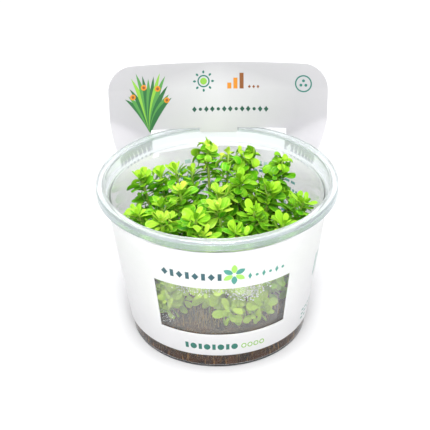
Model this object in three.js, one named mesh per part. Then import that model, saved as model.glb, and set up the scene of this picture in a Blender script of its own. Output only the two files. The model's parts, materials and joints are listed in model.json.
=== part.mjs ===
// A clear culture cup of young Rotala plants in a card sleeve with a tall header.
// Millimetres, +Z up. The cup stands on z = 0 with its axis on Z, and its front faces -Y.

import * as THREE from 'three';

// Cup
const RIM_RADIUS = 47.5;
const RIM_TOP = 65.7;
const RIM_LIP_BOTTOM = 62.4;
const RIM_LIP_WIDTH = 0.5;
const RIM_SHOULDER = 0.9;
const RIM_THICKNESS = 1.4;
const COLLAR_RADIUS = 44.0;
const COLLAR_DRAFT = 0.2;
const LEDGE_TOP = 60.1;
const LEDGE_UNDERSIDE = 59.2;
const BASE_RADIUS = 34.2;
const BASE_FILLET = 1.6;
const FOOT_TOP = 5.6;
const EDGE_ROUND = 0.4;
const FLOOR_THICKNESS = 0.9;
const WALL_THICKNESS = 0.8;
const WALL_RADIUS_AT_ZERO = 35.0;
const TAPER = 0.127;
const CUP_SEGMENTS = 40;

// Card
const CARD_THICKNESS = 0.5;
const CARD_RADIUS_AT_ZERO = 35.9;
const CARD_ARC_RADIUS = 43.5;
const HALF_ROUND = Math.PI * CARD_ARC_RADIUS;
const TOUCH = 0.01;
const SLEEVE_BOTTOM = 6.8;
const SLEEVE_TOP = 58.8;
const WINDOW_BOTTOM = 17.6;
const WINDOW_TOP = 41.6;
const WINDOW_HALF = 29.4;
const WINDOW_OFFSET = 1.75;
const WINDOW_STEPS = 9;
const SIDE_STEPS = 7;
const CORNER_SHARES = [0, 0.38, 0.66, 0.87, 1];
const BACK_COLUMNS = [14.5, 20.6];
const SLOT_HALF = 30.1;
const SLOT_BOTTOM = 57.0;
const SLOT_NOTCH_BOTTOM = 55.5;
const SLOT_NOTCH_INNER = 26.7;
const SLOT_TOP = 66.1;
const TAB_HALF = 8.4;
const TAB_BOTTOM = 64.1;
const HEADER_HALF = 48.0;
const HEADER_TOP = 94.7;
const HEADER_CORNER = 10.5;
const HEADER_BOW = 4.0;
const HEADER_CROWN = 0.45;
const HEADER_PLANE_Y = 41.9;
const HEADER_SHIFT = 1.0;
const HEADER_LEAN = THREE.MathUtils.degToRad(6.7);
const HEADER_WIDTH_RATIO = 0.948;
const HEADER_FLAT_FROM = 62.0;
const STRAP_BEND = 11.0;
const STRAP_BEND_RISE = 4.0;
const STRAP_END_RISE = 10.0;
const SIDE_FADE = 14.0;
const BACK_FADE = 16.0;
const BEND_LOW = 51.0;
const HEADER_FOLD = 71.0;

// Medium
const MEDIUM_TOP = 16.6;
const MEDIUM_GAP = 0.3;
const MENISCUS_HEIGHT = 0.6;
const MENISCUS_WIDTH = 2.2;
const MEDIUM_SEGMENTS = 28;

// Shoots: tip x, tip y, tip z, base x, base y, leaf length, bearing in degrees, leaf pairs.
const SHOOTS = [
  [-4.0, 35.2, 61.5, -3.0, 27.0, 7.2, 20, 6],
  [5.0, 31.0, 59.5, 3.5, 22.0, 7.0, 70, 6],
  [13.5, 31.5, 59.0, 11.5, 27.0, 7.4, 35, 6],
  [27.2, 24.0, 59.5, 20.5, 19.0, 7.6, 10, 6],
  [-17.0, 25.0, 55.5, -14.5, 20.0, 7.2, 55, 5],
  [-31.6, 17.5, 56.5, -25.0, 14.5, 7.4, 15, 6],
  [9.4, 15.5, 56.0, 7.0, 13.5, 8.8, 80, 5],
  [-23.6, 22.0, 54.5, -20.5, 21.5, 7.6, 5, 5],
  [-15.2, 11.0, 53.5, -13.0, 10.5, 7.8, 40, 5],
  [0.6, 7.2, 54.5, -1.0, 6.5, 7.6, 25, 6],
  [0.4, -2.6, 53.0, 2.0, -2.0, 8.0, 60, 6],
  [21.6, 7.4, 55.5, 17.0, 6.0, 7.8, 30, 6],
  [34.6, 1.0, 53.5, 27.5, 2.5, 7.2, 75, 6],
  [-22.8, 3.4, 52.0, -19.5, 2.0, 7.6, 20, 5],
  [-31.6, -2.4, 51.0, -27.0, -1.5, 7.2, 50, 5],
  [-22.4, -6.6, 50.5, -20.5, -8.0, 7.8, 0, 5],
  [-8.4, -5.6, 50.5, -9.0, -4.5, 8.4, 65, 5],
  [-5.6, -14.4, 48.5, -5.0, -12.5, 7.8, 30, 5],
  [6.8, -13.0, 49.0, 8.0, -11.0, 7.6, 10, 5],
  [14.6, -3.6, 52.0, 12.5, -2.5, 7.8, 45, 5],
  [26.0, -9.4, 50.0, 21.5, -9.0, 7.6, 85, 5],
  [19.8, 27.0, 47.0, 14.0, 20.5, 7.2, 0, 4],
  [-10.6, 33.2, 50.0, -9.0, 27.0, 7.0, 60, 4],
  [32.4, 12.8, 48.0, 26.0, 10.5, 7.0, 40, 4],
  [-34.2, 7.4, 46.0, -28.5, 6.5, 6.8, 80, 4],
  [-13.6, 18.0, 44.0, -6.0, 17.0, 7.4, 15, 4],
  [16.8, 15.4, 46.5, 17.5, 13.0, 7.2, 60, 4],
  [-27.0, -15.6, 43.5, -23.5, -16.0, 7.4, 30, 4],
  [-15.4, -24.4, 40.5, -14.5, -20.5, 7.6, 55, 5],
  [-2.6, -29.6, 37.5, -3.5, -22.5, 7.8, 20, 5],
  [11.4, -27.0, 39.0, 8.5, -21.5, 7.6, 70, 5],
  [22.8, -23.2, 42.0, 18.5, -19.5, 7.4, 35, 5],
  [33.2, -13.2, 41.5, 28.5, -12.5, 7.0, 5, 4],
  [-20.6, -27.4, 27.5, -19.5, -24.5, 6.8, 10, 3],
  [4.4, -33.4, 27.0, 3.5, -29.0, 6.8, 45, 3],
  [17.2, -30.6, 28.0, 15.5, -27.0, 6.8, 25, 3],
];
const STEM_BASE_RADIUS = 0.85;
const STEM_TIP_RADIUS = 0.6;
const STEM_SIDES = 4;
const STEM_GAP = 0.35;
const STEM_STRAIGHT = 0.55;
const STEM_SAMPLE_STEP = 1.0;
const NODE_HALF_HEIGHT = 0.45;
const PAIR_DEPTHS = [0.45, 2.0, 4.3, 7.4, 11.6, 16.8];
const PAIR_ANGLES = [26, 50, 68, 78, 84, 88];
const PAIR_SIZES = [0.6, 0.86, 1.0, 1.0, 0.92, 0.84];
const LEAF_WIDTH_RATIO = 0.6;
const LEAF_THICKNESS = 0.5;
const LEAF_SHOULDER = 0.36;
const LEAF_SHOULDER_WIDTH = 0.34;
const LEAF_WIDEST = 0.72;
const LEAF_CURL = 0.14;
const LEAF_CLEARANCE = 0.8;
const OWN_LEAF_CLEARANCE = 0.5;
const STEM_CLEARANCE = 1.3;
const WALL_CLEARANCE = 0.75;
const TRIES = [[0, 1], [14, 1], [-14, 1], [28, 0.94], [-28, 0.94], [8, 0.82], [-20, 0.76], [36, 0.7]];

const COLOURS = {
  cup: 0xdfe6e6,
  card: 0xf4f5f8,
  medium: 0x4a3a2a,
  leaves: [0x6fae1c, 0x86c326, 0x4d8f16, 0x9ad23a],
};

function wallRadius(z) {
  return WALL_RADIUS_AT_ZERO + TAPER * z;
}

function innerRadius(z) {
  return wallRadius(z) - WALL_THICKNESS;
}

function smooth(t) {
  const u = Math.min(1, Math.max(0, t));
  return u * u * (3 - 2 * u);
}

function mix(a, b, t) {
  return a + (b - a) * t;
}

function plastic(colour, roughness) {
  return new THREE.MeshStandardMaterial({ color: colour, roughness, metalness: 0 });
}

function lathe(points, segments) {
  const profile = points.map(([r, z]) => new THREE.Vector2(r, z));
  const geometry = new THREE.LatheGeometry(profile, segments);
  geometry.rotateX(Math.PI / 2);
  return geometry;
}

function triangleGeometry(positions, indices) {
  const geometry = new THREE.BufferGeometry();
  geometry.setAttribute('position', new THREE.Float32BufferAttribute(positions, 3));
  geometry.setIndex(indices);
  geometry.computeVertexNormals();
  return geometry;
}

// The cup's section, from the middle of its underside round the rim to the middle of its floor.
function cupGeometry() {
  const collarOutside = COLLAR_RADIUS + WALL_THICKNESS;
  return lathe([
    [0, 0],
    [BASE_RADIUS, 0],
    [BASE_RADIUS + BASE_FILLET - EDGE_ROUND, EDGE_ROUND],
    [BASE_RADIUS + BASE_FILLET, BASE_FILLET],
    [wallRadius(FOOT_TOP), FOOT_TOP],
    [wallRadius(LEDGE_UNDERSIDE), LEDGE_UNDERSIDE],
    [collarOutside, LEDGE_UNDERSIDE + RIM_SHOULDER],
    [collarOutside + COLLAR_DRAFT, RIM_TOP - RIM_THICKNESS],
    [RIM_RADIUS - RIM_SHOULDER, RIM_TOP - RIM_THICKNESS],
    [RIM_RADIUS - RIM_LIP_WIDTH, RIM_LIP_BOTTOM],
    [RIM_RADIUS, RIM_LIP_BOTTOM + COLLAR_DRAFT],
    [RIM_RADIUS - EDGE_ROUND, RIM_TOP - RIM_SHOULDER],
    [RIM_RADIUS - RIM_SHOULDER, RIM_TOP - EDGE_ROUND],
    [COLLAR_RADIUS + EDGE_ROUND, RIM_TOP],
    [COLLAR_RADIUS, RIM_TOP - EDGE_ROUND],
    [COLLAR_RADIUS - COLLAR_DRAFT, LEDGE_TOP + EDGE_ROUND],
    [COLLAR_RADIUS - COLLAR_DRAFT - EDGE_ROUND, LEDGE_TOP],
    [innerRadius(LEDGE_TOP) + EDGE_ROUND, LEDGE_TOP],
    [innerRadius(LEDGE_TOP - EDGE_ROUND), LEDGE_TOP - EDGE_ROUND],
    [innerRadius(FLOOR_THICKNESS + BASE_FILLET), FLOOR_THICKNESS + BASE_FILLET],
    [BASE_RADIUS - EDGE_ROUND, FLOOR_THICKNESS + COLLAR_DRAFT],
    [0, FLOOR_THICKNESS],
  ], CUP_SEGMENTS);
}

function mediumGeometry() {
  const bottom = FLOOR_THICKNESS + MEDIUM_GAP + COLLAR_DRAFT;
  const low = FLOOR_THICKNESS + BASE_FILLET + MEDIUM_GAP;
  const edge = (z) => innerRadius(z) - MEDIUM_GAP;
  return lathe([
    [0, bottom],
    [BASE_RADIUS - BASE_FILLET, bottom],
    [edge(low), low],
    [edge(MEDIUM_TOP + MENISCUS_HEIGHT), MEDIUM_TOP + MENISCUS_HEIGHT],
    [edge(MEDIUM_TOP) - MENISCUS_WIDTH, MEDIUM_TOP],
    [0, MEDIUM_TOP],
  ], MEDIUM_SEGMENTS);
}

// The card is laid out flat first: s runs round the cup from the middle of the back, z is the height.
// How far the card has left the cup's taper for the flat header, from 0 to 1.
function headerBlend(s, z) {
  const across = Math.abs(s);
  const along = Math.min(1, Math.max(0, (across - SLOT_HALF) / (HEADER_HALF - SLOT_HALF)));
  const start = HEADER_FLAT_FROM - STRAP_BEND + STRAP_BEND_RISE * along;
  const end = HEADER_FLAT_FROM + STRAP_END_RISE * along;
  const aside = 1 - smooth((across - HEADER_HALF) / SIDE_FADE);
  const inBack = z < (SLOT_BOTTOM + SLOT_TOP) / 2;
  const back = inBack ? smooth((across - SLOT_HALF + BACK_FADE) / BACK_FADE) : 1;
  return smooth((z - start) / (end - start)) * aside * back;
}

function cardMiddle(s, z) {
  const angle = s / CARD_ARC_RADIUS;
  const radius = CARD_RADIUS_AT_ZERO + TAPER * z;
  const blend = headerBlend(s, z);
  const bow = HEADER_BOW * (s / HEADER_HALF) ** 2;
  const flatX = HEADER_WIDTH_RATIO * s + HEADER_SHIFT;
  const flatY = HEADER_PLANE_Y + (z - HEADER_FLAT_FROM) * Math.tan(HEADER_LEAN) - bow;
  return new THREE.Vector3(
    mix(radius * Math.sin(angle), flatX, blend),
    mix(radius * Math.cos(angle), flatY, blend),
    z,
  );
}

function cardPoint(s, z, side) {
  const along = cardMiddle(s + TOUCH, z).sub(cardMiddle(s - TOUCH, z));
  const up = cardMiddle(s, z + TOUCH).sub(cardMiddle(s, z - TOUCH));
  const out = up.cross(along).normalize();
  return cardMiddle(s, z).addScaledVector(out, side * CARD_THICKNESS / 2);
}

function headerTop(s) {
  const across = Math.abs(s);
  const past = Math.max(0, across - (HEADER_HALF - HEADER_CORNER));
  const round = HEADER_CORNER - Math.sqrt(Math.max(0, HEADER_CORNER ** 2 - past ** 2));
  return HEADER_TOP - round - HEADER_CROWN * (across / HEADER_HALF) ** 2;
}

function spread(from, to, steps) {
  return Array.from({ length: steps }, (_, i) => mix(from, to, i / steps));
}

// Columns round the whole card, each with the heights of its corners.
function cardColumns() {
  const free = HEADER_HALF + SIDE_FADE;
  const corner = HEADER_HALF - HEADER_CORNER;
  const rounding = CORNER_SHARES.map((share) => corner + HEADER_CORNER * share);
  const slot = [0, TAB_HALF, ...BACK_COLUMNS, SLOT_NOTCH_INNER, SLOT_HALF];
  const backHalf = [...slot, ...rounding, HEADER_HALF + SIDE_FADE / 2];
  const windowRight = HALF_ROUND - WINDOW_OFFSET - WINDOW_HALF;
  const windowLeft = windowRight + 2 * WINDOW_HALF;
  return [
    ...backHalf,
    ...spread(free, windowRight, SIDE_STEPS),
    ...spread(windowRight, windowLeft, WINDOW_STEPS),
    ...spread(windowLeft, 2 * HALF_ROUND - free, SIDE_STEPS),
    2 * HALF_ROUND - free,
    ...backHalf.slice(1).reverse().map((s) => 2 * HALF_ROUND - s),
  ].map((s) => (s > HALF_ROUND ? s - 2 * HALF_ROUND : s));
}

function inWindow(s) {
  const turned = s < 0 ? s + 2 * HALF_ROUND : s;
  return Math.abs(turned - (HALF_ROUND - WINDOW_OFFSET)) < WINDOW_HALF + TOUCH;
}

function columnHeights(s) {
  const across = Math.abs(s);
  const touches = (edge) => across < edge + TOUCH;
  if (inWindow(s)) return [SLEEVE_BOTTOM, WINDOW_BOTTOM, WINDOW_TOP, SLEEVE_TOP];
  if (!touches(HEADER_HALF + SIDE_FADE / 2)) return [SLEEVE_BOTTOM, SLEEVE_TOP];
  const low = [SLEEVE_BOTTOM, BEND_LOW, SLOT_NOTCH_BOTTOM];
  if (!touches(HEADER_HALF)) return [...low, SLEEVE_TOP];
  const high = [SLOT_TOP, HEADER_FOLD, headerTop(s)];
  if (across > SLOT_HALF - TOUCH) return [...low, SLEEVE_TOP, HEADER_FLAT_FROM, ...high];
  return touches(TAB_HALF) ? [...low, SLOT_BOTTOM, TAB_BOTTOM, ...high] : [...low, SLOT_BOTTOM, ...high];
}

// The stretches of card between two neighbouring columns, as [left low, left high, right low, right high].
function slabSpans(a, b) {
  const low = Math.min(Math.abs(a), Math.abs(b));
  const middle = (Math.abs(a) + Math.abs(b)) / 2;
  if (inWindow(a) && inWindow(b)) {
    return [[SLEEVE_BOTTOM, WINDOW_BOTTOM], [WINDOW_TOP, SLEEVE_TOP]].map(([l, h]) => [l, h, l, h]);
  }
  if (low > HEADER_HALF - TOUCH) return [[SLEEVE_BOTTOM, SLEEVE_TOP, SLEEVE_BOTTOM, SLEEVE_TOP]];
  if (low > SLOT_HALF - TOUCH) return [[SLEEVE_BOTTOM, headerTop(a), SLEEVE_BOTTOM, headerTop(b)]];
  const slotFloor = middle > SLOT_NOTCH_INNER ? SLOT_NOTCH_BOTTOM : SLOT_BOTTOM;
  const slotCeiling = middle < TAB_HALF ? TAB_BOTTOM : SLOT_TOP;
  return [
    [SLEEVE_BOTTOM, slotFloor, SLEEVE_BOTTOM, slotFloor],
    [slotCeiling, headerTop(a), slotCeiling, headerTop(b)],
  ];
}

// Fills the strip between two rising rows of corners with triangles.
function zip(left, right, triangles) {
  let i = 0;
  let j = 0;
  while (i < left.length - 1 || j < right.length - 1) {
    const takeLeft = j === right.length - 1
      || (i < left.length - 1 && left[i + 1].z <= right[j + 1].z);
    if (takeLeft) {
      triangles.push([left[i].id, right[j].id, left[i + 1].id]);
      i += 1;
    } else {
      triangles.push([left[i].id, right[j].id, right[j + 1].id]);
      j += 1;
    }
  }
}

function cardGeometry() {
  const columns = cardColumns();
  const corners = [];
  const rows = columns.map((s) => columnHeights(s).map((z) => {
    corners.push([s, z]);
    return { z, id: corners.length - 1 };
  }));
  const triangles = [];
  columns.forEach((s, k) => {
    const next = (k + 1) % columns.length;
    slabSpans(s, columns[next]).forEach(([leftLow, leftHigh, rightLow, rightHigh]) => {
      const within = (row, low, high) => row.filter(({ z }) => z > low - TOUCH && z < high + TOUCH);
      zip(within(rows[k], leftLow, leftHigh), within(rows[next], rightLow, rightHigh), triangles);
    });
  });
  const used = [...new Set(triangles.flat())];
  const place = new Map(used.map((id, n) => [id, n]));
  const positions = [];
  for (const side of [1, -1]) {
    used.forEach((id) => positions.push(...cardPoint(corners[id][0], corners[id][1], side).toArray()));
  }
  const count = used.length;
  const faces = triangles.map((t) => t.map((id) => place.get(id)));
  const halfEdges = new Set(faces.flatMap(([a, b, c]) => [`${a},${b}`, `${b},${c}`, `${c},${a}`]));
  const indices = [];
  faces.forEach(([a, b, c]) => indices.push(a, c, b, a + count, b + count, c + count));
  halfEdges.forEach((key) => {
    const [a, b] = key.split(',').map(Number);
    if (halfEdges.has(`${b},${a}`)) return;
    indices.push(a, b, b + count, a, b + count, a + count);
  });
  return triangleGeometry(positions, indices);
}

// A repeatable sequence of numbers from 0 to 1.
function sequence(seed) {
  let state = seed;
  return () => {
    state = (state * 16807) % 2147483647;
    return state / 2147483647;
  };
}

// The centre line of a stem: it leaves the medium upright, then leans over to its tip.
function stemCurve([tipX, tipY, tipZ, baseX, baseY]) {
  const foot = MEDIUM_TOP + STEM_GAP + 0.1;
  const base = new THREE.Vector3(baseX, baseY, foot);
  const knee = new THREE.Vector3(baseX, baseY, mix(foot, tipZ, STEM_STRAIGHT));
  const tip = new THREE.Vector3(tipX, tipY, tipZ);
  return new THREE.QuadraticBezierCurve3(base, knee, tip);
}

function stemRadius(t) {
  return mix(STEM_BASE_RADIUS, STEM_TIP_RADIUS, t);
}

function frameAt(curve, t) {
  const tangent = curve.getTangent(t);
  const across = new THREE.Vector3(1, 0, 0).addScaledVector(tangent, -tangent.x).normalize();
  return { tangent, across, other: new THREE.Vector3().crossVectors(tangent, across) };
}

// A leaf's own frame: x along the midrib, y across it, z out of its upper face.
function makeLeaf(node, face, azimuth, tilt, length) {
  const { tangent, across, other } = frameAt(node.curve, node.t);
  const outward = across.clone().multiplyScalar(Math.cos(azimuth))
    .addScaledVector(other, Math.sin(azimuth));
  const along = tangent.clone().multiplyScalar(Math.cos(tilt))
    .addScaledVector(outward, Math.sin(tilt));
  const normal = tangent.clone().multiplyScalar(Math.sin(tilt))
    .addScaledVector(outward, -Math.cos(tilt));
  const side = new THREE.Vector3().crossVectors(normal, along);
  const root = node.curve.getPoint(node.t).addScaledVector(outward, 0.7 * stemRadius(node.t));
  return { root, along, side, normal, length, width: length * LEAF_WIDTH_RATIO, owner: node.owner, face };
}

function leafPoint(leaf, x, y, lift) {
  return leaf.root.clone()
    .addScaledVector(leaf.along, x)
    .addScaledVector(leaf.side, y)
    .addScaledVector(leaf.normal, lift - LEAF_CURL * x * x / leaf.length);
}

function leafHalfWidth(leaf, x) {
  const u = Math.min(1, Math.max(0, x / leaf.length));
  if (u < LEAF_SHOULDER) return leaf.width * mix(0.08, LEAF_SHOULDER_WIDTH, u / LEAF_SHOULDER);
  if (u < LEAF_WIDEST) {
    return leaf.width * mix(LEAF_SHOULDER_WIDTH, 0.5, (u - LEAF_SHOULDER) / (LEAF_WIDEST - LEAF_SHOULDER));
  }
  return leaf.width * mix(0.5, 0, (u - LEAF_WIDEST) / (1 - LEAF_WIDEST));
}

function leafSamples(leaf) {
  const samples = [];
  for (let i = 1; i <= 7; i += 1) {
    const x = leaf.length * i / 7;
    const half = leafHalfWidth(leaf, x);
    for (const share of [-1, -0.5, 0, 0.5, 1]) {
      samples.push(leafPoint(leaf, x, share * half, LEAF_THICKNESS / 2));
    }
  }
  return samples;
}

// Whether a point, grown by a clearance, touches a leaf.
function nearLeaf(leaf, point, clearance) {
  const offset = point.clone().sub(leaf.root);
  const x = offset.dot(leaf.along);
  if (x < -clearance || x > leaf.length + clearance) return false;
  const y = offset.dot(leaf.side);
  if (Math.abs(y) > leafHalfWidth(leaf, x) + clearance) return false;
  const rise = LEAF_THICKNESS / 2 - LEAF_CURL * x * x / leaf.length;
  return Math.abs(offset.dot(leaf.normal) - rise) < clearance;
}

function leavesMeet(leaf, other) {
  if (leaf.middle.distanceTo(other.middle) > (leaf.length + other.length) / 2 + 2) return false;
  const own = leaf.owner === other.owner;
  const clearance = own ? OWN_LEAF_CLEARANCE : LEAF_CLEARANCE;
  const skipped = own ? 10 : 0;
  return leaf.samples.slice(skipped).some((p) => nearLeaf(other, p, clearance))
    || other.samples.slice(skipped).some((p) => nearLeaf(leaf, p, clearance));
}

function leafFits(leaf, leaves, stemSamples) {
  const inCup = leaf.samples.every((p) => {
    const radius = Math.hypot(p.x, p.y);
    return radius < innerRadius(p.z) - WALL_CLEARANCE && p.z > MEDIUM_TOP + 1.1;
  });
  if (!inCup) return false;
  const hitsStem = stemSamples.some(({ point, owner }) => owner !== leaf.owner
    && leaf.middle.distanceTo(point) < leaf.length / 2 + STEM_CLEARANCE + 1
    && nearLeaf(leaf, point, STEM_CLEARANCE));
  return !hitsStem && !leaves.some((other) => leavesMeet(leaf, other));
}

function sampleStem(curve, owner) {
  const count = Math.ceil(curve.getLength() / STEM_SAMPLE_STEP);
  return Array.from({ length: count + 1 }, (_, i) => ({ point: curve.getPoint(i / count), owner }));
}

// Leaves stand in crossing pairs. The topmost pairs of all shoots are set first, and a leaf that has
// no room is turned or shortened, or doesn't grow.
function growShoots() {
  const random = sequence(4711);
  const leaves = [];
  const shoots = SHOOTS.map((row, owner) => ({ row, owner, curve: stemCurve(row), nodes: [] }));
  const stemSamples = shoots.flatMap(({ curve, owner }) => sampleStem(curve, owner));
  PAIR_DEPTHS.forEach((depth, pair) => {
    shoots.filter(({ row }) => pair < row[7]).forEach(({ row, owner, curve, nodes }) => {
      const reach = curve.getLength();
      const turn = row[6] + 18 * (random() - 0.5);
      const node = {
        curve, owner, turn, t: 1 - depth / reach, halfHeight: NODE_HALF_HEIGHT / reach, leaves: [],
      };
      nodes.unshift(node);
      for (const half of [0, 2]) {
        const face = (half + pair) % STEM_SIDES;
        const tilt = THREE.MathUtils.degToRad(PAIR_ANGLES[pair] + 16 * (random() - 0.5));
        const size = row[5] * PAIR_SIZES[pair] * (0.92 + 0.16 * random());
        for (const [swing, shrink] of TRIES) {
          const azimuth = THREE.MathUtils.degToRad(turn + 90 * face + swing);
          const leaf = makeLeaf(node, face, azimuth, tilt, size * shrink);
          leaf.samples = leafSamples(leaf);
          leaf.middle = leafPoint(leaf, leaf.length / 2, 0, 0);
          if (leafFits(leaf, leaves, stemSamples)) {
            leaves.push(leaf);
            node.leaves.push(leaf);
            break;
          }
        }
      }
    });
  });
  return shoots;
}

// One stem ring: four corners, turned so that each face looks along a leaf.
function stemRing(curve, t, turn) {
  const { across, other } = frameAt(curve, t);
  const centre = curve.getPoint(t);
  return Array.from({ length: STEM_SIDES }, (_, k) => {
    const angle = THREE.MathUtils.degToRad(turn + 90 * k - 45);
    return centre.clone()
      .addScaledVector(across, stemRadius(t) * Math.cos(angle))
      .addScaledVector(other, stemRadius(t) * Math.sin(angle));
  });
}

// The blade grows out of one four-cornered patch of the stem: lower left, lower right, upper right,
// upper left, as seen from outside.
function addBlade(leaf, [a, b, c, d], positions, indices) {
  const shoulder = LEAF_SHOULDER_WIDTH * leaf.width;
  const place = (u, y, lift) => {
    positions.push(...leafPoint(leaf, u * leaf.length, y, lift).toArray());
    return positions.length / 3 - 1;
  };
  const nearLeft = place(LEAF_SHOULDER, -shoulder, 0);
  const wideLeft = place(LEAF_WIDEST, -leaf.width / 2, 0);
  const tip = place(1, 0, 0);
  const wideRight = place(LEAF_WIDEST, leaf.width / 2, 0);
  const nearRight = place(LEAF_SHOULDER, shoulder, 0);
  const crown = place((LEAF_SHOULDER + LEAF_WIDEST) / 2, 0, LEAF_THICKNESS);
  const rim = [d, nearLeft, wideLeft, tip, wideRight, nearRight, c];
  rim.forEach((corner, i) => indices.push(corner, rim[(i + 1) % rim.length], crown));
  indices.push(a, nearLeft, d, b, c, nearRight);
  indices.push(a, b, nearRight, a, nearRight, nearLeft);
  indices.push(nearLeft, nearRight, wideRight, nearLeft, wideRight, wideLeft, wideLeft, wideRight, tip);
}

function shootGeometry({ curve, nodes }) {
  const positions = [];
  const indices = [];
  const rings = [{ t: 0, turn: nodes[0].turn, leaves: [] }];
  nodes.forEach(({ t, halfHeight, turn, leaves }) => {
    rings.push({ t: t - halfHeight, turn, leaves });
    rings.push({ t: t + halfHeight, turn, leaves: [] });
  });
  rings.forEach(({ t, turn }) => {
    stemRing(curve, Math.min(1, t), turn).forEach((p) => positions.push(...p.toArray()));
  });
  for (let i = 0; i < rings.length - 1; i += 1) {
    for (let k = 0; k < STEM_SIDES; k += 1) {
      const a = i * STEM_SIDES + k;
      const b = i * STEM_SIDES + (k + 1) % STEM_SIDES;
      const patch = [a, b, b + STEM_SIDES, a + STEM_SIDES];
      const leaf = rings[i].leaves.find(({ face }) => face === k);
      if (leaf) {
        addBlade(leaf, patch, positions, indices);
      } else {
        indices.push(patch[0], patch[1], patch[2], patch[0], patch[2], patch[3]);
      }
    }
  }
  const top = (rings.length - 1) * STEM_SIDES;
  indices.push(0, 2, 1, 0, 3, 2, top, top + 1, top + 2, top, top + 2, top + 3);
  return triangleGeometry(positions, indices);
}

const model = new THREE.Group();

function addPiece(name, geometry, material) {
  const mesh = new THREE.Mesh(geometry, material);
  mesh.name = name;
  model.add(mesh);
}

addPiece('cup', cupGeometry(), plastic(COLOURS.cup, 0.08));
addPiece('card_sleeve', cardGeometry(), plastic(COLOURS.card, 0.45));
addPiece('medium', mediumGeometry(), plastic(COLOURS.medium, 0.25));
growShoots().forEach((shoot) => {
  const colour = COLOURS.leaves[shoot.owner % COLOURS.leaves.length];
  const name = `shoot_${String(shoot.owner + 1).padStart(2, '0')}`;
  addPiece(name, shootGeometry(shoot), plastic(colour, 0.35));
});

export default model;
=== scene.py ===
import json
import random
from math import acos, atan2, ceil, cos, dist, exp, hypot, pi, radians, sin, sqrt, tan

import bpy
import numpy as np
from mathutils import Matrix, Vector
from mathutils.geometry import delaunay_2d_cdt
from numpy.linalg import norm


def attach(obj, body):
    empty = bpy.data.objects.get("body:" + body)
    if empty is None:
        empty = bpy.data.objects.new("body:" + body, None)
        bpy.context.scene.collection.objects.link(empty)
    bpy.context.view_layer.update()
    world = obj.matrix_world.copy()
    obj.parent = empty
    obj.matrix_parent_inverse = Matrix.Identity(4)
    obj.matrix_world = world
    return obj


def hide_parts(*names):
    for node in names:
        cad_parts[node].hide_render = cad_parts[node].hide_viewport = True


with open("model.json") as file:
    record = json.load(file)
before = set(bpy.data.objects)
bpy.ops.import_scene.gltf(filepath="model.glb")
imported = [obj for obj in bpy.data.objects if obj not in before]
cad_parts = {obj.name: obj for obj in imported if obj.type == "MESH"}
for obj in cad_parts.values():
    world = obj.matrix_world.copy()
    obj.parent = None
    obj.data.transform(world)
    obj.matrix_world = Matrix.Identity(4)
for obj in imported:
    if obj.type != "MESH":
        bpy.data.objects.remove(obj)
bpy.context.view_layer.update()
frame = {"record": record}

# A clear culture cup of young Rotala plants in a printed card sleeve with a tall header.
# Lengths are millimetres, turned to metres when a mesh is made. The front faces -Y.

MM = 0.001
BODY = "root"

# Cup
RIM_RADIUS = 47.5
RIM_TOP = 65.7
RIM_LIP_BOTTOM = 62.4
COLLAR_RADIUS = 44.0
LEDGE_TOP = 60.1
LEDGE_UNDERSIDE = 59.2
BASE_RADIUS = 35.85
FOOT_TOP = 5.6
FLOOR_THICKNESS = 0.5
WALL_THICKNESS = 0.8
WALL_RADIUS_AT_ZERO = 35.0
TAPER = 0.127
FLANGE_THICKNESS = 1.4
LIP_EDGE_DEPTH = 0.6
CUP_SEGMENTS = 192

# Card
CARD_THICKNESS = 0.5
CARD_RADIUS_AT_ZERO = 35.9
CARD_ARC_RADIUS = 43.5
HALF_ROUND = pi * CARD_ARC_RADIUS
SLEEVE_BOTTOM = 6.8
SLEEVE_TOP = 58.8
WINDOW_BOTTOM = 17.6
WINDOW_TOP = 41.6
WINDOW_HALF = 29.4
WINDOW_OFFSET = 1.75
SLOT_HALF = 30.1
SLOT_BOTTOM = 57.0
SLOT_NOTCH_BOTTOM = 55.5
SLOT_NOTCH_INNER = 26.7
SLOT_TOP = 66.1
TAB_HALF = 8.4
TAB_BOTTOM = 64.1
TAB_CORNER = 0.8
HEADER_HALF = 48.0
HEADER_TOP = 94.7
HEADER_CORNER = 10.5
HEADER_BOW = 4.0
HEADER_CROWN = 0.45
HEADER_PLANE_Y = 41.9
HEADER_SHIFT = 1.0
HEADER_LEAN = radians(6.7)
HEADER_WIDTH_RATIO = 0.948
HEADER_FLAT_FROM = 62.0
STRAP_BEND = 11.0
STRAP_BEND_RISE = 4.0
STRAP_END_RISE = 10.0
SIDE_FADE = 14.0
BACK_FADE = 16.0
SEAM = 66.0
FAR_SEAM = SEAM - 2 * HALF_ROUND
CARD_STEP = 2.2
TOUCH = 0.01
CARD_WHITE = (0.82, 0.812, 0.828, 1)
# The card's plain back, seen inside the cup: brighter and warmer than the outer face, as painted light for
# the inside of the cup
CARD_BACK_WITH_PAINTED_LIGHT = (1.0, 0.995, 0.92, 1)
# Painted shade: the grey that the header's front face fades to, standing in for the shade that face lies in
HEADER_PAINTED_SHADE = (0.435, 0.427, 0.445, 1)
HEADER_GLOW = 0.2
INK_GLOW = 0.3

# Medium
MEDIUM_TOP = 16.6
MEDIUM_GAP = 0.05
MENISCUS_HEIGHT = 0.6
MENISCUS_WIDTH = 2.2
GEL_EDGE = MEDIUM_TOP + MENISCUS_HEIGHT
FOG_TOP = 44.0
# The fog is condensation, but it stops short of the window's sides: the clear strips beside it are painted
# shade for the card edges' shadow on it
FOG_HALF_ANGLE = 0.607
STANDING_ROOTS = 110
SIDE_ROOTS = 420

# The index of the wall's inner face where gel wets it, and light hardly bends
WETTED_IOR = 1.1

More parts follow.
